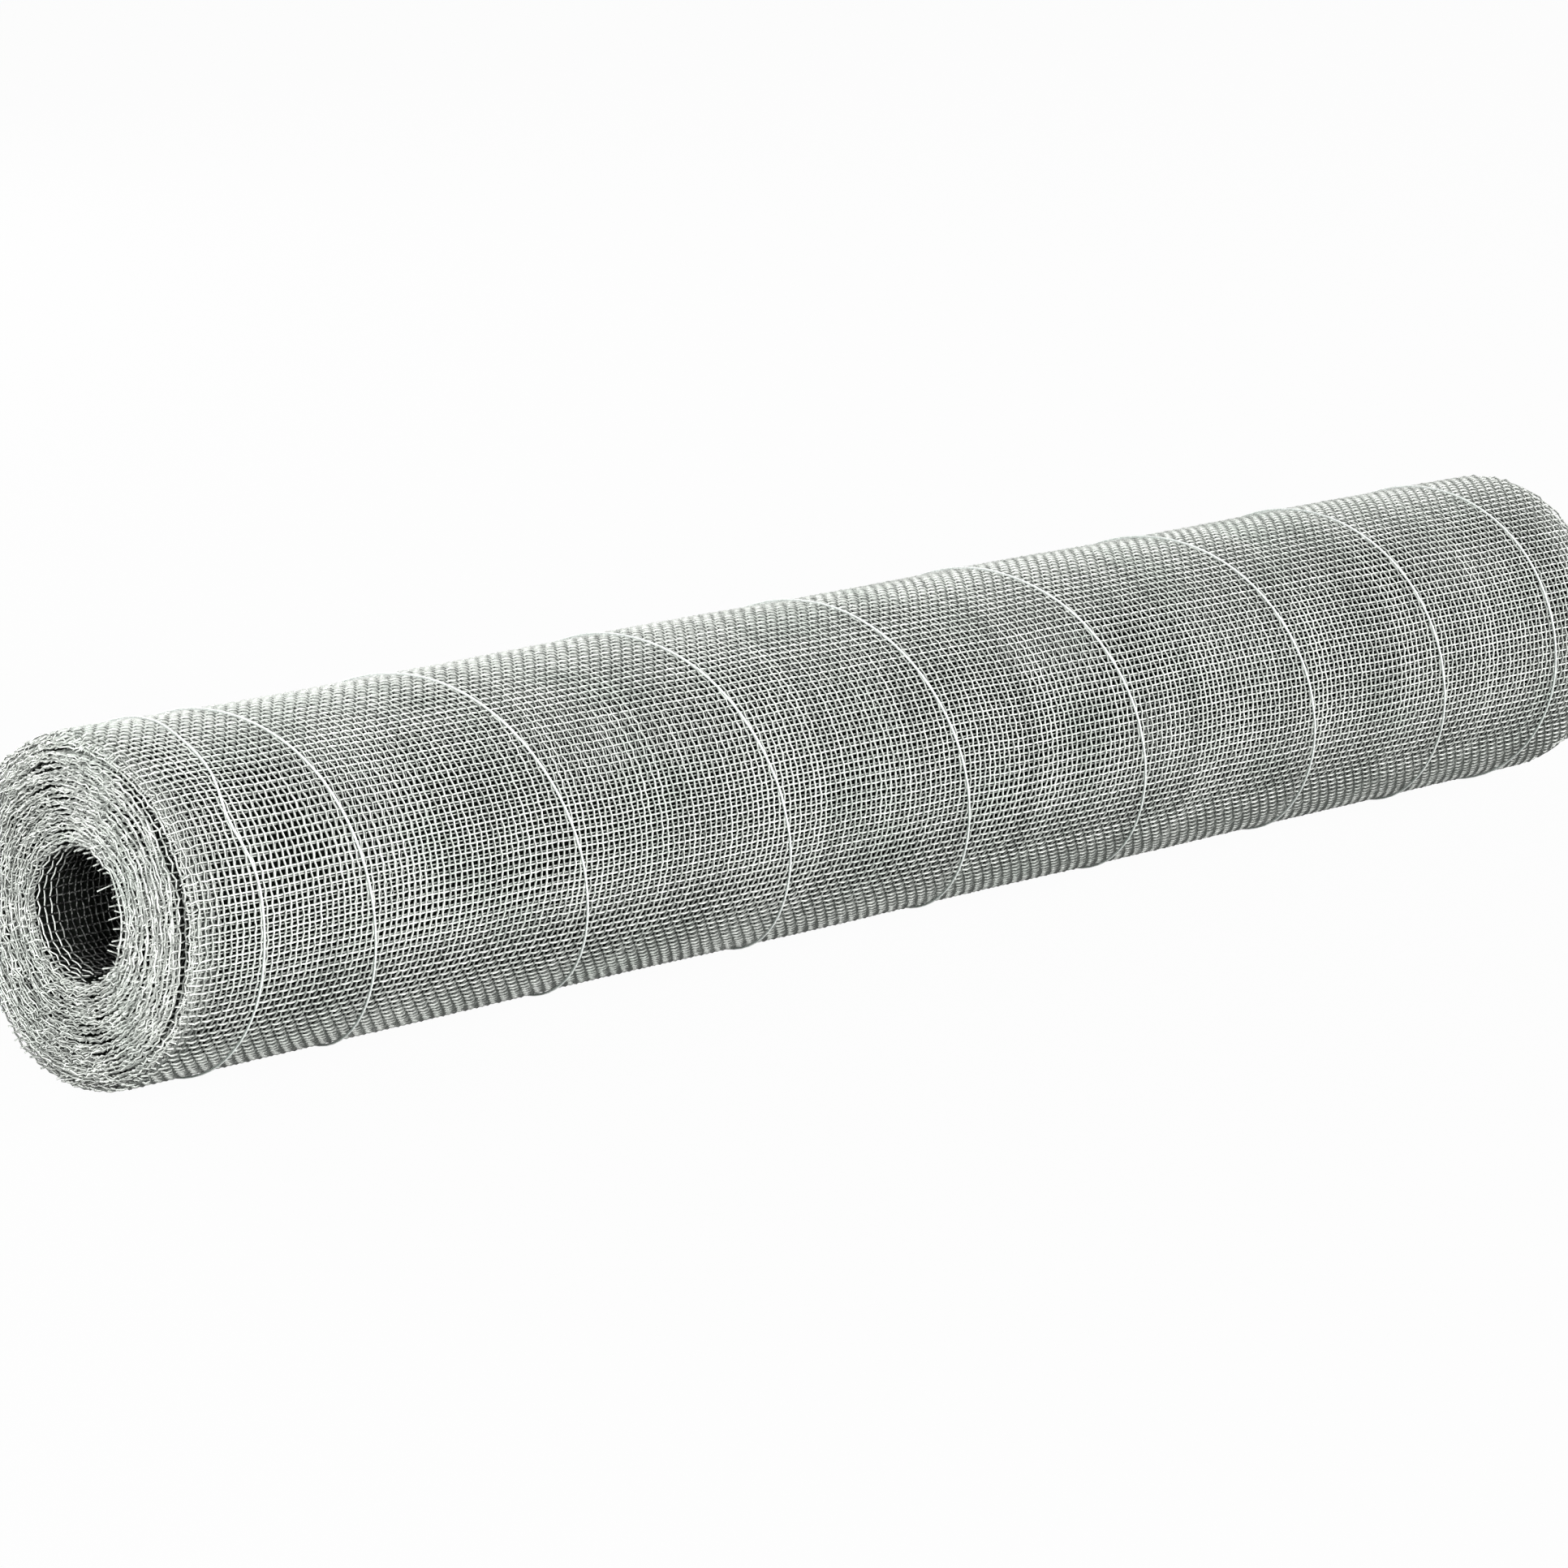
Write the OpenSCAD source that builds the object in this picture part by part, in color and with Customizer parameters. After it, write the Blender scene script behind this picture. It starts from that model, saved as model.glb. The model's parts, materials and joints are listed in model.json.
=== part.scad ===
// Roll of woven wire cloth, lying on its side and held closed by one wire that winds round it
// from end to end. Millimetres, +Z up, the roll's axis along X. The origin is on the floor under
// the middle of the roll. Angles round the roll start at its top and go down over the -Y side.

/* [Cloth] */
// Width of the cloth, which runs along the roll
cloth_w = 1000; // [300:10:1500]
// Outer diameter of the roll of cloth
roll_d = 163; // [140:1:220]
// Diameter of the bore
bore_d = 58; // [40:1:80]
// Spacing from one turn of the cloth to the next
turn_pitch = 1.8; // [1.5:0.1:2.6]
// Thickness of the cloth over its crossing wires
cloth_t = 1.3; // [0.8:0.1:1.4]
// Where the cloth's free edge lies round the roll, in degrees
free_edge_angle = 217.5; // [180:0.5:270]

/* [Ends] */
// Depth of the narrow gaps between the turns at each end
turn_gap_depth = 4; // [1.5:0.5:10]
// Most that a turn's edge stands back from the end
edge_setback = 1; // [0.1:0.1:1.4]
// How far the tight turns have slid out of the loose ones towards -X
slip = 5; // [0.5:0.5:15]
// Turns that lie loosely round the tight ones
loose_turns = 4; // [2:1:6]
// Least width of the gap between the tight turns and the loose ones
loose_gap = 3; // [1:0.1:5]
// Depth of that gap at each end
loose_gap_depth = 40; // [20:1:100]

/* [Binding wire] */
// Diameter of the binding wire
wire_d = 1.2; // [0.8:0.1:2.5]
// Clearance between the binding wire and the cloth
wire_gap = 0.1; // [0.05:0.05:0.3]
// Distance from the loose turns' -X edge to the first hoop
first_hoop = 37; // [20:1:80]
// Distance from the last hoop to the loose turns' +X edge
last_hoop = 48; // [20:1:80]

/* [Hidden] */
$fn = 128;
roll_r = roll_d / 2;
bore_r = bore_d / 2;
roll_w = cloth_w + slip;

// The loose turns are counted in from the free edge, where the outer one starts half a turn thick
loose_r = roll_r - (loose_turns + 0.5) * turn_pitch;
tight_turns = floor((loose_r - loose_gap - bore_r) / turn_pitch);
tight_r = bore_r + (tight_turns - 1) * turn_pitch + cloth_t;

// Where each hoop of the wire crosses the -Y side, as a share of the way from first to last
hoop_share = [0, 0.069, 0.211, 0.357, 0.494, 0.634, 0.779, 0.897, 1];
last = len(hoop_share) - 1;
// The shares that it comes in from and goes off to, which leave the end hoops almost square
lead_in = 0.02;
lead_out = 0.99;
hoop_start = (slip - cloth_w) / 2 + first_hoop;
hoop_run = cloth_w - first_hoop - last_hoop;
wire_sides = 8;
wire_step = 15;
// Both ends of the wire lie on the back of the roll, clear of the floor
wire_angles = [-142.5 : wire_step : 360 * last + 232.5];

// Radius of the cloth at an angle: two half circles that meet in a step at the free edge
function cloth_r(angle) =
    let (back = free_edge_angle - angle,
         side = sin(back) >= 0 ? 1 : -1,
         shift = side * turn_pitch / 4,
         arc_r = roll_r - turn_pitch / 2 + shift)
    shift * cos(back) + sqrt(pow(arc_r, 2) - pow(shift * sin(back), 2));

// Radius of the wire's middle, where its straight lengths just clear the cloth
function wire_r(angle) = (cloth_r(angle) + wire_gap + wire_d / 2) / cos(wire_step / 2);

// The roll rests on the wire, so the wire's lowest point sets the height of the axis
axis_z = max([for (angle = wire_angles) -cos(angle) * (wire_r(angle) + wire_d / 2)]);

// A hoop's share of the run
function share(i) = i < 0 ? lead_in : i > last ? lead_out : hoop_share[i];

// The smooth curve from b to c, a share f of the way, that comes from a and goes on to d
function between(a, b, c, d, f) =
    b + f / 2 * (c - a + f * (2 * a - 5 * b + 4 * c - d + f * (3 * (b - c) + d - a)));

// Place of the wire along the axis, at an angle that counts on through all its hoops
function wire_x(angle) =
    let (turn = (angle - 90) / 360, i = floor(turn))
    hoop_start + hoop_run * between(share(i - 1), share(i), share(i + 1), share(i + 2), turn - i);

function wire_point(angle) =
    [wire_x(angle), -wire_r(angle) * sin(angle), wire_r(angle) * cos(angle)];

function unit(v) = v / norm(v);

// One ring of the wire's surface, square to its run, with a corner pointing straight out
function wire_ring(angle) =
    let (ahead = wire_point(angle + wire_step) - wire_point(angle),
         behind = wire_point(angle) - wire_point(angle - wire_step),
         side = unit(cross(unit(ahead) + unit(behind), [0, -sin(angle), cos(angle)])),
         out = [0, -sin(angle), cos(angle)])
    [for (i = [0 : wire_sides - 1])
        let (turn = 360 * i / wire_sides)
        wire_point(angle) + wire_d / 2 * (cos(turn) * out + sin(turn) * side)];

// A solid through a list of rings, each of wire_sides points
module sweep(rings) {
    n = wire_sides;
    end = len(rings) - 1;
    polyhedron(
        points = [for (ring = rings) each ring],
        faces = [
            [for (i = [n - 1 : -1 : 0]) i],
            for (k = [0 : end - 1], i = [0 : n - 1])
                [k * n + i, k * n + (i + 1) % n, (k + 1) * n + (i + 1) % n, (k + 1) * n + i],
            [for (i = [0 : n - 1]) end * n + i]
        ]
    );
}

// A piece of the half-section between two radii, centred on a place along the axis
module band(inner, outer, length, place) {
    translate([inner, place - length / 2]) square([outer - inner, length]);
}

// How far the edge of turn i stands back from the end
function setback(i) = edge_setback * (1 + sin(137 * i)) / 2;

// The half-section of a pack of turns: a gap under each turn but the first, and uneven edges
module pack_section(inner, outer, turns, place) {
    gap = turn_pitch - cloth_t;
    difference() {
        band(inner, outer, cloth_w, place);
        for (i = [1 : turns - 1], end = [-0.5, 0.5]) {
            turn_r = inner + i * turn_pitch;
            band(turn_r - gap, turn_r, 2 * turn_gap_depth, place + end * cloth_w);
            if (i < turns - 1)
                band(turn_r - gap / 2, turn_r + cloth_t + gap / 2, 2 * setback(i), place + end * cloth_w);
        }
    }
}

// The whole half-section, a turn larger than the roll: radius across, the axis upwards
module roll_section() {
    pack_section(bore_r, tight_r, tight_turns, -slip / 2);
    pack_section(loose_r, roll_r + turn_pitch, loose_turns, slip / 2);
    band(tight_r - cloth_t / 2, loose_r + cloth_t / 2, cloth_w - slip - 2 * loose_gap_depth, 0);
}

// The cloth's outline across the roll, with its free edge towards +X
module cloth_outline() {
    for (side = [1, -1])
        intersection() {
            translate([side * turn_pitch / 4, 0]) circle(roll_r - turn_pitch / 2 + side * turn_pitch / 4);
            translate([-roll_d, side > 0 ? -roll_d : 0]) square([2 * roll_d, roll_d]);
        }
}

module wire_cloth() {
    color("gainsboro")
        translate([0, 0, axis_z])
            rotate([0, 90, 0])
                intersection() {
                    rotate_extrude() roll_section();
                    rotate([0, 0, 180 + free_edge_angle])
                        linear_extrude(roll_w + 2, center = true) cloth_outline();
                }
}

module binding_wire() {
    color("silver")
        translate([0, 0, axis_z])
            sweep([for (angle = wire_angles) wire_ring(angle)]);
}

wire_cloth();
binding_wire();
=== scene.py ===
# Looks for the roll of woven wire cloth: its woven turns, end faces, bore and tie wire.
# Metres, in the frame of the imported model. Angles round the roll start at its top and go down over
# its -Y side. "psi" counts the degrees round the spiral inwards from the cloth's free edge. "Warp"
# wires run round the roll and "weft" wires along it. "Near" is the -X end and "far" the +X end.
import math

import bpy
import numpy as np
from mathutils import Matrix, Vector
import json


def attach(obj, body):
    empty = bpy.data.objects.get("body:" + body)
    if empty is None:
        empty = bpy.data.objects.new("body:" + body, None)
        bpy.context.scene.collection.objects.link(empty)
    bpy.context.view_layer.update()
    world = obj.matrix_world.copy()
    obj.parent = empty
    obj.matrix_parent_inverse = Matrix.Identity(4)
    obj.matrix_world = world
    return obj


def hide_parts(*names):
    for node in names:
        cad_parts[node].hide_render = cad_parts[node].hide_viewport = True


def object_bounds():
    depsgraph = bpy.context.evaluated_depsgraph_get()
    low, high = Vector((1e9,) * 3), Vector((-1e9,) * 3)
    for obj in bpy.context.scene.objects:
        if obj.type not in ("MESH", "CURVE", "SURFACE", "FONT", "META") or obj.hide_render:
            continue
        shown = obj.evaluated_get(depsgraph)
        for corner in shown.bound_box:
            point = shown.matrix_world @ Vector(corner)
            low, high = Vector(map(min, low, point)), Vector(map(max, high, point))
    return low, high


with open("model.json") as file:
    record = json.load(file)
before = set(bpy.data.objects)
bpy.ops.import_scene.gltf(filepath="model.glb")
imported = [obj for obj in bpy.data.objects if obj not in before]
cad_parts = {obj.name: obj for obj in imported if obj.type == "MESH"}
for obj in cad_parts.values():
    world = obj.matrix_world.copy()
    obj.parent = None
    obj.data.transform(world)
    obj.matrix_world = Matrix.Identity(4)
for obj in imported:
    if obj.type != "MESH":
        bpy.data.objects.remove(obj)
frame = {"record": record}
CAD_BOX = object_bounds()

MM = 0.001

# ---------------------------------------------------------------- sizes taken from the frame
bore = next(m for m in frame["record"]["mounts"] if m["name"] == "bore")
BORE_X, _, AXIS_Z = bore["pos_m"]
BORE_R = bore["dims"]["r_mm"] * MM
CLOTH_W = bore["dims"]["length_mm"] * MM
SLIP = -2 * BORE_X                 # how far the tight turns have slid out of the loose ones

# ---------------------------------------------------------------- sizes of the cloth
ROLL_R = 81.5 * MM
FREE_EDGE = 217.5                  # degrees
TURN_PITCH = 1.8 * MM
WIRE_D = 0.78 * MM                 # drawn as wide as the wires look
OUTER_D, UNDER_D = 0.9 * MM, 0.66 * MM       # the same in the outermost turn and in the one under it
WARP_PITCH = 3.51 * MM             # from one warp wire to the next, along the roll
WEFT_PITCH = 3.96 * MM             # from one weft wire to the next, round the roll
WARP_CRIMP = 0.42 * MM             # how far a warp wire weaves to either side of the cloth's middle
WEFT_CRIMP = 0.30 * MM             # and how far a weft wire does
TIP = 1.5 * MM                     # how far the weft wires reach past the outer warp wires

# ---------------------------------------------------------------- sizes of the roll
OUTER_END, UNDER_END = 364, 724    # psi at which the outermost turn and the one under it end
LOOSE_END = 1357.0                 # psi at which the loose turns end
TIGHT_START = 1480.0               # psi at which the tight turns start
TIGHT_R = 71.4 * MM                # middle of the outermost tight turn
INNER_R = BORE_R + 1.0 * MM        # middle of the innermost turn
INNER_END = TIGHT_START + 360 * (TIGHT_R - INNER_R) / TURN_PITCH      # psi at which the cloth ends
INNER_START = INNER_END - 372      # psi at which the innermost turn starts, as it shows in the bore
MID_R = ROLL_R - WARP_CRIMP - WIRE_D / 2
OFF_CENTRE = Vector((0, 0.6, -0.3)) * MM    # the tight turns lie this far back and down
FLAT, FLAT_ANGLE, FLAT_WIDTH = 2.6 * MM, 84, 38      # and are pressed flat at this angle
CURL, CURL_LENGTH = 1.3 * MM, 13 * MM       # the loose turns' edges curl in
SKEW = 0.62 * MM                   # neighbouring turns stray along the roll by this much to either side
# Where turns stand apart in the tight pack: psi, angle, half width in degrees, half the gap
PARTINGS = ((TIGHT_START + 1190, -22, 13, 1.0 * MM), (TIGHT_START + 1250, 35, 55, 0.45 * MM),
            (TIGHT_START + 3500, 150, 60, 0.35 * MM))
# Where the loose turns bulge: angle, place along the roll, half widths in degrees and metres, height
BULGES = ((52, -0.475, 16, 0.022, 0.9 * MM), (30, -0.16, 30, 0.09, 0.35 * MM),
          (-46, -0.5, 36, 0.06, 2.8 * MM), (208, -0.5, 26, 0.05, 2.0 * MM))


def smooth_step(low, high, value):
    """0 below low, 1 above high, and smooth between."""
    share = np.clip((value - low) / (high - low), 0, 1)
    return share * share * (3 - 2 * share)


def bell(value, middle, half_width):
    return np.exp(-((value - middle) / half_width) ** 2)


class Ripple:
    """A smooth random field: a sum of waves with lengths near the given ones, one for each place."""

    def __init__(self, seed, size, *lengths, count=9):
        rng = np.random.default_rng(seed)
        self.waves = rng.normal(0, 1, (count, len(lengths))) * 2 * math.pi / np.array(lengths)
        self.phase = rng.uniform(0, 2 * math.pi, count)
        self.size = size * math.sqrt(2 / count)

    def __call__(self, *places):
        places = np.broadcast_arrays(*[np.asarray(place, float) for place in places])
        total = np.zeros(places[0].shape)
        for wave, phase in zip(self.waves, self.phase):
            total += np.sin(sum(w * place for w, place in zip(wave, places)) + phase)
        return self.size * total


turn_drift = Ripple(3, 0.36 * MM, 90)                # a turn's radius wanders along the spiral
dent = Ripple(5, 0.30 * MM, 1.6, 1.6, 0.35)          # broad dents shared by neighbouring turns
warp_sway = Ripple(7, 0.32 * MM, 90, 0.15)           # warp wires sway along the roll
weft_sway = Ripple(11, 0.34 * MM, 90, 0.13)          # weft wires sway round the roll
edge_drift = Ripple(13, 0.55 * MM, 300)              # a turn's edge stands back from the end


def spiral_r(psi):
    """Radius of the cloth's middle."""
    loose = MID_R - TURN_PITCH * psi / 360
    tight = TIGHT_R - TURN_PITCH * (psi - TIGHT_START) / 360
    share = smooth_step(LOOSE_END, TIGHT_START, psi)
    return loose * (1 - share) + tight * share


def from_angle(degrees, middle):
    """Degrees from middle, the short way round."""
    return (degrees - middle + 180) % 360 - 180


def parting(psi, degrees):
    """How far the turns on either side of a parting are pushed off it."""
    total = 0
    for place, middle, half_width, size in PARTINGS:
        turns_off = (place - psi) / 360
        push = np.sign(turns_off) * np.exp(-np.abs(turns_off) / 2.5)
        total = total + size * push * bell(from_angle(degrees, middle), 0, half_width)
    return total


def bulge(degrees, x):
    """How far the loose turns bulge out."""
    total = 0
    for middle, place, half_angle, half_width, size in BULGES:
        total = total + size * bell(from_angle(degrees, middle), 0, half_angle) * bell(x, place, half_width)
    return total


def cloth_point(psi, x, lift):
    """Points of the cloth at psi, x along its width and lift out from its middle, and outwards there."""
    psi, x, lift = np.broadcast_arrays(psi, x, lift)
    tight = smooth_step(LOOSE_END, TIGHT_START, psi)
    outside = smooth_step(INNER_END, TIGHT_START, psi)
    degrees = FREE_EDGE - psi
    angle = np.radians(degrees)
    from_end = CLOTH_W / 2 - np.abs(x)
    curl = CURL * np.clip(1 - from_end / CURL_LENGTH, 0, 1.1) ** 2
    radius = spiral_r(psi) + lift + dent(np.sin(angle), np.cos(angle), x) * outside
    pressed = FLAT * bell(from_angle(degrees, FLAT_ANGLE), 0, FLAT_WIDTH) * outside ** 2
    radius = radius + (turn_drift(psi) + parting(psi, degrees) - pressed) * tight
    radius = radius + bulge(degrees, x) * outside - curl * (1 - tight)
    angle = angle + weft_sway(psi, x) / radius
    stand_back = np.abs(edge_drift(psi)) + 0.2 * MM
    calm_edge = smooth_step(-2 * MM, 8 * MM, from_end)
    sway = warp_sway(psi, x) + SKEW * np.sin(np.radians(psi / 2))
    along = x + (SLIP / 2 - stand_back) * (1 - 2 * tight) + sway * calm_edge
    out = np.stack([np.zeros_like(angle), -np.sin(angle), np.cos(angle)], -1)
    place = np.stack([along, np.zeros_like(along), np.full_like(along, AXIS_Z)], -1)
    place = place + out * radius[..., None] + (tight * outside)[..., None] * np.array(OFF_CENTRE)
    return place, out


# ---------------------------------------------------------------- mesh helpers
def new_object(name, points, faces, material):
    """A mesh object whose faces all have the same number of sides."""
    mesh = bpy.data.meshes.new(name)
    points = np.asarray(points, np.float32)
    faces = np.asarray(faces, np.int32)
    sides = faces.shape[1]
    mesh.vertices.add(len(points))
    mesh.vertices.foreach_set("co", points.ravel())
    mesh.loops.add(faces.size)
    mesh.loops.foreach_set("vertex_index", faces.ravel())
    mesh.polygons.add(len(faces))
    mesh.polygons.foreach_set("loop_start", np.arange(0, faces.size, sides, dtype=np.int32))
    mesh.polygons.foreach_set("loop_total", np.full(len(faces), sides, np.int32))
    mesh.polygons.foreach_set("use_smooth", np.full(len(faces), True))
    mesh.update(calc_edges=True)
    mesh.materials.append(material)
    obj = bpy.data.objects.new(name, mesh)
    bpy.context.scene.collection.objects.link(obj)
    return obj


class Strands:
    """Collects wires as tubes, to be made into one mesh."""

    def __init__(self):
        self.points, self.faces, self.tones, self.count = [], [], [], 0

    def add(self, centres, normal, side, radius, tone, sides=3, dulled=None):
        """centres, normal and side are (wires, points, 3): a wire's middle and its section's axes.
        tone is one number for each of a wire's points; the last argument gives the painted shade taken off
        it at each side."""
        wires, steps, _ = centres.shape
        centres = np.clip(centres, np.array(CAD_BOX[0]) + radius, np.array(CAD_BOX[1]) - radius)
        turn = np.arange(sides) * 2 * math.pi / sides
        ring = normal[:, :, None] * np.cos(turn)[:, None] + side[:, :, None] * np.sin(turn)[:, None]
        points = centres[:, :, None] + radius * ring
        index = self.count + np.arange(wires * steps * sides).reshape(wires, steps, sides)
        here, there = index[:, :-1], index[:, 1:]
        quads = np.stack([here, np.roll(here, -1, 2), np.roll(there, -1, 2), there], -1)
        self.points.append(points.reshape(-1, 3))
        self.faces.append(quads.reshape(-1, 4))
        tone = np.repeat(tone[..., None], sides, 2)
        # Painted shade: the tone drops on the sides of the section that face away from the light.
        if dulled is not None:
            tone = tone - dulled(ring)
        self.tones.append(tone.ravel())
        self.count += wires * steps * sides

    def make(self, name, material, replaced="wire_cloth"):
        """All the wires so far as one piece, which stands for a node of the frame."""
        obj = new_object(name, np.concatenate(self.points), np.concatenate(self.faces), material)
        tones = obj.data.attributes.new("tone", "FLOAT", "POINT")
        tones.data.foreach_set("value", np.concatenate(self.tones).astype(np.float32))
        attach(obj, "root")
        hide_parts(replaced)


def triangle_radius(diameter):
    """The corner radius of a three-sided wire that looks as wide as a round one."""
    return diameter * math.pi / (3 * math.sqrt(3))


# ---------------------------------------------------------------- materials
class Nodes:
    """The node tree of a material or the world, with short ways to add to it."""

    def __init__(self, owner):
        owner.use_nodes = True
        self.tree = owner.node_tree
        self.shader = self.tree.nodes.get("Principled BSDF")

    def add(self, kind, settings=(), **inputs):
        """A new node. An input is named, with _ for a space, or numbered, as in i0."""
        node = self.tree.nodes.new(kind)
        for name, value in dict(settings).items():
            setattr(node, name, value)
        for name, value in inputs.items():
            self.join(value, node.inputs[int(name[1:]) if name[1:].isdigit() else name.replace("_", " ")])
        return node

    def join(self, value, socket):
        if isinstance(value, bpy.types.NodeSocket):
            self.tree.links.new(value, socket)
        else:
            socket.default_value = value

    def maths(self, operation, *values):
        node = self.add("ShaderNodeMath", {"operation": operation})
        for value, socket in zip(values, node.inputs):
            self.join(value, socket)
        return node.outputs[0]

    def mix(self, share, low, high):
        node = self.add("ShaderNodeMix", {"data_type": "RGBA"}, i0=share)
        self.join(low, node.inputs[6])
        self.join(high, node.inputs[7])
        return node.outputs[2]

    def noise(self, scale, detail=2.0):
        place = self.add("ShaderNodeTexCoord").outputs["Object"]
        return self.add("ShaderNodeTexNoise", Vector=place, Scale=scale, Detail=detail).outputs[0]

    def ramp(self, value, low, high, out_low=0.0, out_high=1.0):
        node = self.add("ShaderNodeMapRange", Value=value, From_Min=low, From_Max=high,
                        To_Min=out_low, To_Max=out_high)
        return node.outputs[0]


ZINC_ROUGHNESS, DULL_ROUGHNESS = 0.34, 0.48


def zinc_material(name, dull_and_shaded, bright, grain):
    """Galvanised wire: each wire has a tone of its own, which also carries painted shade and light, with
    dull patches and a fine grain.
    """
    material = bpy.data.materials.new(name)
    nodes = Nodes(material)
    tone = nodes.add("ShaderNodeAttribute", {"attribute_name": "tone"}).outputs["Fac"]
    patches = nodes.ramp(nodes.noise(38, 3), 0.3, 0.7)
    fine = nodes.noise(900, 1)
    share = nodes.maths("MULTIPLY_ADD", patches, 0.1, nodes.maths("MULTIPLY", tone, 0.9))
    share = nodes.maths("ADD", share, nodes.ramp(fine, 0.3, 0.7, -0.15, 0.15))
    green = nodes.ramp(nodes.noise(21, 2), 0.5, 0.75, 0.0, 0.4)
    tinted = nodes.mix(green, (*bright, 1), (0.60, 0.70, 0.62, 1))
    # Low tones, from random dullness and from painted shade alike, go to the dull colour.
    nodes.join(nodes.mix(share, (*dull_and_shaded, 1), tinted), nodes.shader.inputs["Base Color"])
    nodes.join(nodes.ramp(patches, 0, 1, DULL_ROUGHNESS, ZINC_ROUGHNESS), nodes.shader.inputs["Roughness"])
    bump = nodes.add("ShaderNodeBump", Height=fine, Strength=grain, Distance=0.1 * MM)
    nodes.join(bump.outputs[0], nodes.shader.inputs["Normal"])
    nodes.shader.inputs["Metallic"].default_value = 0.03
    nodes.shader.inputs["Specular IOR Level"].default_value = 0.15
    return material


def shade_material(name):
    """The turns that lie too deep to be made as wires, in painted shade: black, with a dim weave in the
    groove at each end.
    """
    material = bpy.data.materials.new(name)
    nodes = Nodes(material)
    place = nodes.add("ShaderNodeTexCoord").outputs["Object"]
    split = nodes.add("ShaderNodeSeparateXYZ", Vector=place)
    wobble = nodes.ramp(nodes.noise(16, 2), 0, 1, -1.6, 1.6)
    height = nodes.maths("SUBTRACT", split.outputs[2], AXIS_Z)
    angle = nodes.maths("ARCTAN2", split.outputs[1], height)
    radius = nodes.maths("SQRT", nodes.maths("ADD", nodes.maths("POWER", split.outputs[1], 2),
                                             nodes.maths("POWER", height, 2)))
    lines = []
    round_the_roll = nodes.maths("MULTIPLY", angle, radius)
    for distance, pitch in ((split.outputs[0], WARP_PITCH), (round_the_roll, WEFT_PITCH)):
        count = nodes.maths("ADD", nodes.maths("DIVIDE", distance, pitch), wobble)
        lines.append(nodes.maths("ABSOLUTE", nodes.maths("SUBTRACT", nodes.maths("FRACT", count), 0.5)))
    wires = nodes.ramp(nodes.maths("MAXIMUM", *lines), 0.36, 0.46)
    in_groove = nodes.maths("MULTIPLY", nodes.ramp(radius, 60 * MM, 70 * MM),
                            nodes.ramp(radius, 73 * MM, 71 * MM))
    share = nodes.maths("MULTIPLY", wires, in_groove)
    # Painted shade: near black, with the weave's wires only dimly lit.
    nodes.join(nodes.mix(share, (0.005, 0.006, 0.005, 1), (0.14, 0.15, 0.14, 1)),
               nodes.shader.inputs["Base Color"])
    bump = nodes.add("ShaderNodeBump", Height=wires, Strength=0.8, Distance=0.5 * MM)
    nodes.join(bump.outputs[0], nodes.shader.inputs["Normal"])
    nodes.shader.inputs["Roughness"].default_value = 0.8
    nodes.shader.inputs["Specular IOR Level"].default_value = 0.0
    return material


zinc = zinc_material("zinc_wire", (0.12, 0.13, 0.12), (0.94, 0.97, 0.92), 0.25)
# A shaded copy of the zinc: its low tones go to black, as painted shade for the turn underneath and the
# bore.
inner_zinc_painted_shade = zinc_material("zinc_inner_wire_painted_shade", (0.01, 0.01, 0.01), (0.94, 0.97, 0.92), 0.25)
tie_zinc = zinc_material("zinc_tie_wire", (0.17, 0.20, 0.18), (0.92, 0.95, 0.93), 0.12)
shade = shade_material("deep_turns")


# ---------------------------------------------------------------- the weave
def all_wefts():
    """psi of every weft wire, from the free edge in to the bore."""
    places, psi = [], 2.0
    while psi < INNER_END:
        places.append(psi)
        psi += math.degrees(WEFT_PITCH / float(spiral_r(psi)))
    return np.array(places)


WEFT_PSI = all_wefts()
WARP_COUNT = int((CLOTH_W - 2 * TIP) / WARP_PITCH) + 1
WARP_X = (np.arange(WARP_COUNT) - (WARP_COUNT - 1) / 2) * WARP_PITCH
UNEVEN = 0.08 * MM                 # how far every wire lies out of place, at random
FRAY, LOOSE_FRAY = 0.26 * MM, 0.3 * MM       # how much further at the edge of a tight or a loose turn
chance = np.random.default_rng(23)


def from_edge(x):
    """Distance from the nearer edge of the cloth."""
    return CLOTH_W / 2 - np.abs(x)


def fray(points, x, size):
    """Points of wires, moved at random, and most of all near the cloth's edges."""
    spread = UNEVEN + size * (1 - smooth_step(0, 4 * WARP_PITCH, from_edge(x)))
    return points + chance.normal(0, 1, points.shape) * spread[..., None]


def wefts_between(start, end):
    """Numbers of the weft wires between two places on the spiral."""
    return np.nonzero((WEFT_PSI >= start) & (WEFT_PSI < end))[0]


def over_under(wefts, warps):
    """1 where the warp wire passes over the weft wire, -1 where it passes under."""
    return 1 - 2 * ((wefts + warps) % 2)


def shaded_side(ring):
    """Painted shade: how much darker a wire of the outer turns is where it faces down or to the near end."""
    return 0.9 * smooth_step(0.1, 0.8, -ring[..., 0]) + 0.9 * smooth_step(0.1, 0.8, -ring[..., 2])


def faintly_shaded_side(ring):
    """The same for the outermost turn's weft wires, which stay brighter."""
    return 0.3 * shaded_side(ring)


def bright_tone(x, out):
    """The tone of clean wires: each has its own."""
    return chance.uniform(0.65, 1, (len(x), 1)) + 0 * x


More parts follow.
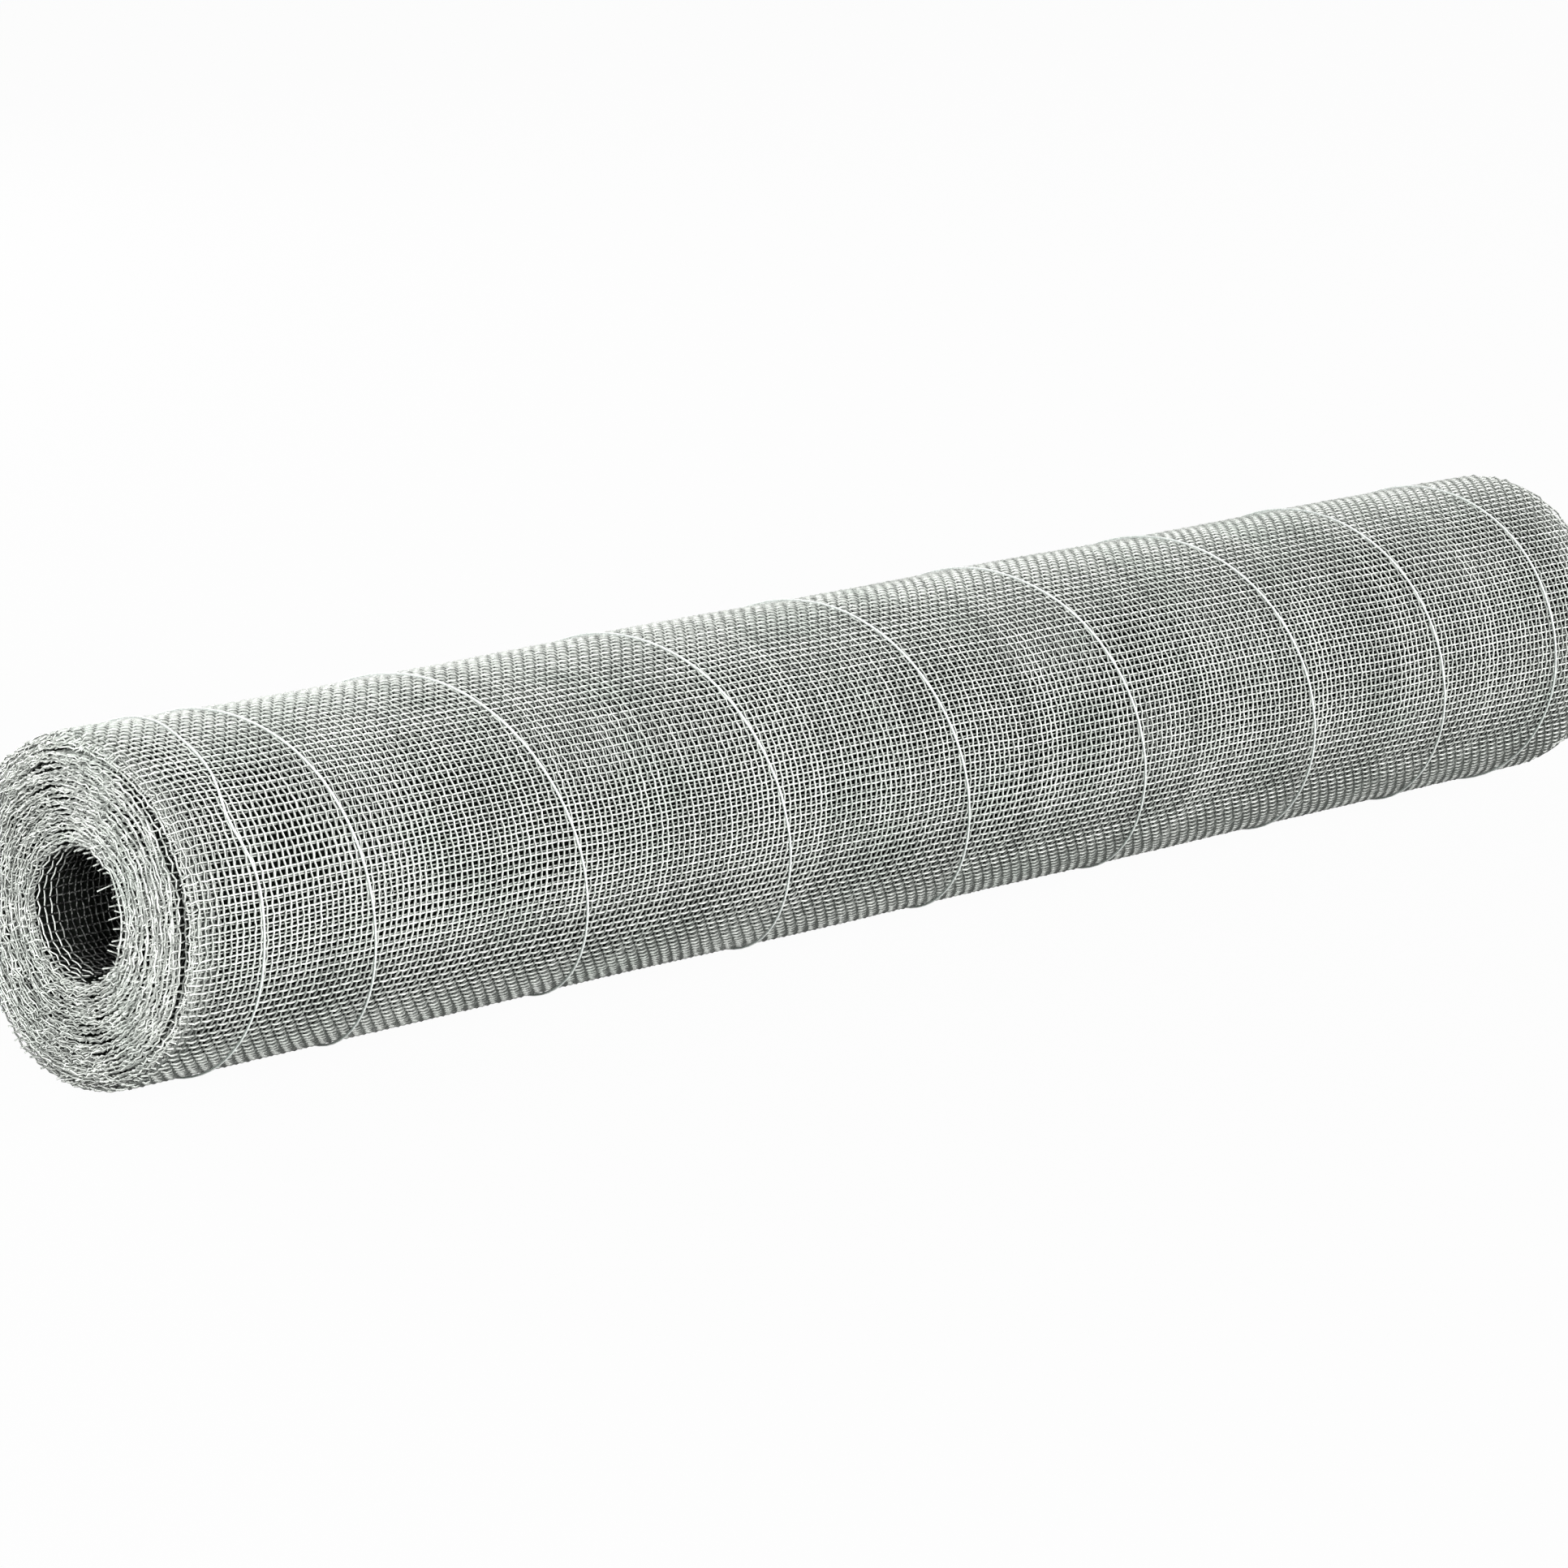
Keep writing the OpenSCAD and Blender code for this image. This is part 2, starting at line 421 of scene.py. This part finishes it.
def under_tone(x, out):
    """The tone of the turn underneath, each wire its own, with painted shade that fades it low down and
    towards the far end, and painted light along its top and at its edges."""
    # Painted shade: below the axis only the sides keep their tone, and the far end is darker.
    shown = np.where(out[..., 2] > 0, 1, smooth_step(0.8, 1.0, np.abs(out[..., 1])))
    shown = shown * (0.9 - 0.5 * x / CLOTH_W)
    # Painted light along its top and near its edges.
    painted_light_at_top = 0.9 * smooth_step(0.93, 1.0, out[..., 2])
    painted_light_at_edge = 0.9 * (1 - smooth_step(8 * MM, 28 * MM, from_edge(x)))
    return np.maximum(chance.uniform(0.6, 1, (len(x), 1)) * shown - 0.1, painted_light_at_top + painted_light_at_edge)


def add_warps(strands, wefts, warps, crimp=WARP_CRIMP, tone=bright_tone, frayed=FRAY, dulled=None,
              diameter=WIRE_D):
    """Wires round the roll, each crimped over and under the weft wires it crosses."""
    lift = crimp * over_under(wefts[None, :], warps[:, None])
    x = WARP_X[warps][:, None] + 0 * lift
    centres, out = cloth_point(WEFT_PSI[wefts][None, :], x, lift)
    along = np.zeros_like(out)
    along[..., 0] = 1
    strands.add(fray(centres, x, frayed), out, along, triangle_radius(diameter), tone(x, out), dulled=dulled)


def add_wefts(strands, wefts, warps, crimp=WEFT_CRIMP, near_tip=0.0, far_tip=0.0, lean=(0.0, 0.0),
              tone=bright_tone, frayed=FRAY, dulled=None, diameter=WIRE_D):
    """Wires along the roll under and over the given warp wires, with cut tips past the outer ones. lean
    gives how far the tips bend: outwards on the whole, and any way at random."""
    x = WARP_X[warps] + np.zeros((len(wefts), 1))
    psi = WEFT_PSI[wefts][:, None] + np.zeros(len(warps))
    lift = -crimp * over_under(wefts[:, None], warps[None, :])
    for tip, way, first in ((near_tip, -1, True), (far_tip, 1, False)):
        if tip:
            at = 0 if first else -1
            tip_x = x[:, at] + way * tip * chance.uniform(0.7, 1, len(wefts))
            tip_psi = psi[:, at] + np.degrees(chance.normal(0, lean[1], len(wefts)) / spiral_r(psi[:, at]))
            tip_lift = chance.normal(lean[0], lean[1] + 0.05 * MM, len(wefts))
            x, psi, lift = [np.insert(row, 0 if first else row.shape[1], value, axis=1)
                            for row, value in ((x, tip_x), (psi, tip_psi), (lift, tip_lift))]
    centres, out = cloth_point(psi, x, lift)
    side = np.cross(out, np.array([1.0, 0, 0]))
    strands.add(fray(centres, x, frayed), out, side, triangle_radius(diameter), tone(x, out), dulled=dulled)


HALF = WARP_COUNT // 2
HALVES = {"near": np.arange(0, HALF + 1), "far": np.arange(HALF, WARP_COUNT)}
UNDER_POINTS = 13                  # points along each weft wire of the turn underneath, in half the roll
LOOSE_LEAN = (-0.4 * MM, 0.5 * MM)           # the lean of the loose turns' tips


def tips(end, length):
    """The setting of add_wefts that gives one end of the wires tips of this length."""
    return {f"{end}_tip": length}


def outer_turns(end):
    """The outermost turn, and the one under it that shows through its openings. The wire in the middle
    of the roll belongs to the far half, and the near half's weft wires only reach it."""
    warps = HALVES[end]
    own = warps[:-1] if end == "near" else warps
    wefts = wefts_between(0, OUTER_END)
    strands = Strands()
    add_warps(strands, wefts, own, frayed=LOOSE_FRAY, dulled=shaded_side, diameter=OUTER_D)
    strands.make(f"outer_turn_warp_{end}", zinc)
    strands = Strands()
    add_wefts(strands, wefts, warps, lean=LOOSE_LEAN, frayed=LOOSE_FRAY, dulled=faintly_shaded_side,
              diameter=OUTER_D, **tips(end, 2 * TIP))
    strands.make(f"outer_turn_weft_{end}", zinc)
    wefts = wefts_between(OUTER_END, UNDER_END)
    strands = Strands()
    add_warps(strands, wefts, own, crimp=1.3 * WARP_CRIMP, tone=under_tone, frayed=LOOSE_FRAY,
              dulled=shaded_side, diameter=UNDER_D)
    coarse = warps[np.linspace(0, len(warps) - 1, UNDER_POINTS).round().astype(int)]
    add_wefts(strands, wefts, coarse, crimp=0, lean=LOOSE_LEAN, tone=under_tone, frayed=LOOSE_FRAY,
              dulled=shaded_side, diameter=UNDER_D, **tips(end, 2 * TIP))
    strands.make(f"second_turn_{end}", inner_zinc_painted_shade)


def edge_rows(end, count, skip=0):
    """The outermost warp wires at one end, without the first few."""
    rows = np.arange(skip, skip + count)
    return rows if end == "near" else (WARP_COUNT - 1 - rows)[::-1]


def edge_tone(x, out):
    """The tone of wires at the ends: painted shade that darkens them with their depth between the turns, and
    dirt here and there.
    """
    dirt = chance.uniform(-0.25, 0.6, x.shape)
    # Painted shade, deeper with the distance in from the cloth's edge; the dirt is the random part.
    return (bright_tone(x, out) - dirt) * (1 - 0.8 * smooth_step(1.5 * MM, 12 * MM, from_edge(x)))


SEAM_END = TIGHT_START + 366       # psi to which the seam between loose and tight turns shows deep edges
PACK_END = INNER_START + 16        # psi at which the edges end, a little past the innermost turn's start
# The turns whose edges show on an end: psi from and to, how many warp wires deep, and the tips' lean
EDGES = ((UNDER_END, TIGHT_START, 5, LOOSE_LEAN), (TIGHT_START, SEAM_END, 8, (0.1 * MM, 0.4 * MM)),
         (SEAM_END, PACK_END, 2, (0, 0.45 * MM)))


def end_turns(end):
    """The edges of the turns between the outer ones and the innermost, as they show on an end."""
    strands = Strands()
    for start, stop, rows, lean in EDGES:
        wefts = wefts_between(start, stop)
        wefts = np.append(wefts, wefts[-1] + 1)
        warps = edge_rows(end, rows)
        add_warps(strands, wefts, warps, tone=edge_tone)
        add_wefts(strands, wefts, warps, lean=lean, tone=edge_tone, **tips(end, 0.9 * TIP))
    strands.make(f"turn_edges_{end}", zinc)


def bore_tone(length):
    """The tone of wires in the bore, with painted shade that fades them with their depth."""
    return lambda x, out: bright_tone(x, out) * (1 - smooth_step(0.45 * length, length, from_edge(x)))


# psi between which the innermost turn crosses the part of the -Y side where it has frayed most
SPIKES = tuple(INNER_END - (INNER_END - FREE_EDGE + angle) % 360 for angle in (138, 52))
BORE_LEAN, SPIKE_LEAN = (-0.8 * MM, 0.7 * MM), (-3.4 * MM, 1.9 * MM)
# The innermost turn's stretches: psi from and to, how many warp wires are missing, and the tips' lean
STRETCHES = ((INNER_START, SPIKES[0], 1, BORE_LEAN), (*SPIKES, 3, SPIKE_LEAN),
             (SPIKES[1], INNER_END, 1, BORE_LEAN))
BORE_TIP = 1.2 * MM                # how much longer the tips in the bore are


def bore_turn(end, depth):
    """The innermost turn as it shows in the bore. Its outer warp wires have frayed away, and more of
    them on the -Y side, where the weft wires are left as long spikes."""
    strands = Strands()
    for start, stop, missing, lean in STRETCHES:
        wefts = wefts_between(start, stop)
        warps = edge_rows(end, int(depth / WARP_PITCH), skip=missing)
        crossed = np.arange(wefts[0], min(wefts[-1] + 2, len(WEFT_PSI)))
        add_warps(strands, crossed, warps, crimp=1.1 * WARP_CRIMP, tone=bore_tone(20 * MM))
        add_wefts(strands, wefts, warps, lean=lean, tone=bore_tone(5 * missing * MM),
                  **tips(end, missing * WARP_PITCH + TIP + BORE_TIP))
    strands.make(f"bore_turn_{end}", inner_zinc_painted_shade)


# ---------------------------------------------------------------- the deep turns
def lathe(name, profile, material, segments=120):
    """A surface turned about the roll's axis from (x, radius) points in a closed loop."""
    profile = np.array(profile)
    turn = np.tile(np.arange(segments) * 2 * math.pi / segments, len(profile))
    x = np.repeat(profile[:, 0], segments)
    radius = np.repeat(profile[:, 1], segments)
    points = np.stack([x, radius * np.sin(turn), AXIS_Z + radius * np.cos(turn)], -1)
    here = np.arange(len(points)).reshape(len(profile), segments)
    there = np.roll(here, -1, 0)
    quads = np.stack([here, np.roll(here, -1, 1), np.roll(there, -1, 1), there], -1)
    return new_object(name, points, quads.reshape(-1, 4), material)


def deep_turns():
    """All that lies deeper than the wires, as one solid in painted shade with a groove between the packs at
    each end.
    """
    inner, outer = INNER_R + 2.2 * MM, MID_R - 2.45 * TURN_PITCH
    tight, loose = TIGHT_R - 3 * MM, outer - 1.2 * MM
    face, rim, groove = CLOTH_W / 2 - 7 * MM, CLOTH_W / 2 - 20 * MM, CLOTH_W / 2 - 42 * MM
    side = [(face, inner), (face, tight), (groove, tight), (groove, loose), (rim, loose), (rim, outer)]
    profile = side + [(-x, radius) for x, radius in reversed(side)]
    obj = lathe("deep_turns", profile, shade)
    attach(obj, "root")
    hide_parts("wire_cloth")


# ---------------------------------------------------------------- the tie wire
TIE_D = 1.2 * MM
TIE_SIDES = 10
TIE_STEP = 5.0                     # degrees
# Where each hoop crosses the -Y side, as a share of the way from the first hoop to the last
HOOP_SHARE = (0, 0.069, 0.211, 0.357, 0.494, 0.634, 0.779, 0.897, 1)
LEAD_IN, LEAD_OUT = 0.02, 0.99
FIRST_HOOP, LAST_HOOP = 37 * MM, 48 * MM     # from the loose turns' near and far edges
TIE_START, TIE_END = -142.5, 360 * (len(HOOP_SHARE) - 1) + 232.5
TUCK = 2.4 * MM                    # how far the wire's two ends are tucked in
# Where the wire strays from its smooth run: angle, half width in degrees, distance along the roll
STRAYS = ((-6, 20, 6.5 * MM), (54, 13, -6.0 * MM), (410, 30, 1.2 * MM), (1120, 40, -1.5 * MM))
tie_sway = Ripple(31, 0.5 * MM, 160)


def tie_x(angle):
    """Place of the tie wire along the roll, at an angle that counts on through all its hoops."""
    share = (LEAD_IN, *HOOP_SHARE, LEAD_OUT, LEAD_OUT)
    turn = (angle - 90) / 360
    i = math.floor(turn)
    a, b, c, d = share[max(i, 0)], share[i + 1], share[i + 2], share[i + 3]
    if i < 0:
        a = LEAD_IN
    f = turn - i
    place = b + f / 2 * (c - a + f * (2 * a - 5 * b + 4 * c - d + f * (3 * (b - c) + d - a)))
    run = CLOTH_W - FIRST_HOOP - LAST_HOOP
    return (SLIP - CLOTH_W) / 2 + FIRST_HOOP + run * place


def painted_shade_near_side(ring):
    """Painted shade: how much darker the tie wire is where it faces to the near end."""
    return 1 - smooth_step(-1.0, -0.45, ring[..., 0])


def tie_wire():
    """One wire wound round the roll from end to end, over the outermost turn."""
    angle = np.arange(TIE_START, TIE_END + 0.1, TIE_STEP)
    x = np.array([tie_x(a) for a in angle]) + tie_sway(angle)
    for middle, half_width, distance in STRAYS:
        x = x + distance * bell(angle, middle, half_width)
    lift = WARP_CRIMP + WIRE_D / 2 + TIE_D / 2
    on_cloth, _ = cloth_point((FREE_EDGE - angle) % 360, x - SLIP / 2, lift)
    radius = np.hypot(on_cloth[:, 1], on_cloth[:, 2] - AXIS_Z)
    # It spans the hollows of the cloth smoothly, has its ends tucked in and stays above the floor
    radius = np.max([np.roll(radius, shift) for shift in (-1, 0, 1)], axis=0)
    radius = np.convolve(np.pad(radius, 2, "edge"), np.full(5, 0.2), "valid")
    from_tip = np.minimum(angle - TIE_START, TIE_END - angle)
    radius = radius - TUCK * (1 - smooth_step(0, 2.5 * TIE_STEP, from_tip))
    radius = np.minimum(radius, AXIS_Z - TIE_D / 2)
    turn = np.radians(angle)
    out = np.stack([np.zeros_like(turn), -np.sin(turn), np.cos(turn)], -1)
    centres = out * radius[:, None] + np.stack([x, np.zeros_like(x), np.full_like(x, AXIS_Z)], -1)
    ahead = np.gradient(centres, axis=0)
    side = np.cross(ahead / np.linalg.norm(ahead, axis=1)[:, None], out)
    # Painted light: the tie wire is brighter where it faces up and darker low down.
    painted_light_up = 0.9 + 0.4 * smooth_step(-0.6, 0.6, out[:, 2])
    strands = Strands()
    strands.add(centres[None], out[None], side[None], TIE_D / 2, painted_light_up[None], TIE_SIDES, painted_shade_near_side)
    strands.make("tie_wire", tie_zinc, "binding_wire")


for end in ("near", "far"):
    outer_turns(end)
for end in ("near", "far"):
    end_turns(end)
bore_turn("near", 160 * MM)
bore_turn("far", 60 * MM)
deep_turns()
tie_wire()


# ---------------------------------------------------------------- stage, lights and camera
def add_light_path(nodes):
    """1 for rays that reach the camera straight, or through gloss or glass."""
    path = nodes.add("ShaderNodeLightPath")
    seen = nodes.maths("MAXIMUM", path.outputs["Is Camera Ray"], path.outputs["Is Glossy Ray"])
    return nodes.maths("MAXIMUM", seen, path.outputs["Is Transmission Ray"])


def floor_material():
    """A white floor that keeps a pale shadow."""
    material = bpy.data.materials.new("floor")
    nodes = Nodes(material)
    nodes.shader.inputs["Base Color"].default_value = (0.3, 0.3, 0.3, 1)
    nodes.shader.inputs["Roughness"].default_value = 0.9
    white = nodes.add("ShaderNodeEmission", Color=(1, 1, 1, 1), Strength=1.0)
    share = nodes.maths("MULTIPLY", add_light_path(nodes), 0.97)
    mixed = nodes.add("ShaderNodeMixShader", i0=share, i1=nodes.shader.outputs[0], i2=white.outputs[0])
    nodes.join(mixed.outputs[0], nodes.tree.nodes["Material Output"].inputs["Surface"])
    return material


FLOOR_SIZE = 14.0
corner = FLOOR_SIZE / 2
floor = new_object("floor", [(-corner, -corner, 0), (corner, -corner, 0), (corner, corner, 0),
                             (-corner, corner, 0)], [(0, 1, 2, 3)], floor_material())


def add_world(strength):
    """A soft even light all round, seen as white."""
    world = bpy.data.worlds.new("world")
    nodes = Nodes(world)
    light = nodes.tree.nodes["Background"]
    light.inputs["Color"].default_value = (0.97, 1.0, 0.98, 1)
    light.inputs["Strength"].default_value = strength
    white = nodes.add("ShaderNodeBackground", Color=(1, 1, 1, 1))
    mixed = nodes.add("ShaderNodeMixShader", i0=add_light_path(nodes), i1=light.outputs[0],
                      i2=white.outputs[0])
    nodes.join(mixed.outputs[0], nodes.tree.nodes["World Output"].inputs["Surface"])
    bpy.context.scene.world = world


def area_lamp(name, place, size, power, target=(0, 0, 0.08)):
    """A square lamp that faces the middle of the roll or another place on it."""
    lamp = bpy.data.lights.new(name, "AREA")
    lamp.size = size
    lamp.energy = power
    obj = bpy.data.objects.new(name, lamp)
    obj.location = place
    aim = Vector(target) - Vector(place)
    obj.rotation_euler = aim.to_track_quat("-Z", "Y").to_euler()
    bpy.context.scene.collection.objects.link(obj)


add_world(0.05)
area_lamp("key", (4.5, -2.6, 1.8), 1.2, 240)
area_lamp("front", (-2.2, -3.4, 1.0), 0.6, 128)
area_lamp("low", (4.5, -2.0, 0.45), 0.8, 68)
area_lamp("left", (-3.0, -1.4, 0.9), 0.6, 62)
area_lamp("top", (-1.6, -1.6, 2.6), 0.8, 14, (-0.3, 0, 0.08))
area_lamp("back", (0.4, 3.4, 0.8), 1.5, 150)
area_lamp("end", (-1.4, 0.3, 0.7), 0.4, 6, (-0.5, 0, 0.08))

# The camera stands off the roll's near end and side, and looks a little down
AZIMUTH, ELEVATION = math.radians(-45.4), math.radians(12.0)
DISTANCE = 3.231
VIEW_OFFSET = (0.0372, 0.0164)     # the roll's middle lies this far right of and above the view's
forward = Vector((-math.sin(AZIMUTH) * math.cos(ELEVATION),
                  math.cos(AZIMUTH) * math.cos(ELEVATION), -math.sin(ELEVATION)))
right = forward.cross(Vector((0, 0, 1))).normalized()
above = right.cross(forward)
camera_data = bpy.data.cameras.new("camera")
camera_data.lens = 149.26
camera_data.sensor_width = 36
camera = bpy.data.objects.new("camera", camera_data)
camera.matrix_world = Matrix((right, above, -forward)).transposed().to_4x4()
camera.location = (Vector((0, 0, AXIS_Z)) - forward * DISTANCE
                   - right * VIEW_OFFSET[0] - above * VIEW_OFFSET[1])
bpy.context.scene.collection.objects.link(camera)
bpy.context.scene.camera = camera
bpy.context.scene.view_settings.view_transform = "Standard"
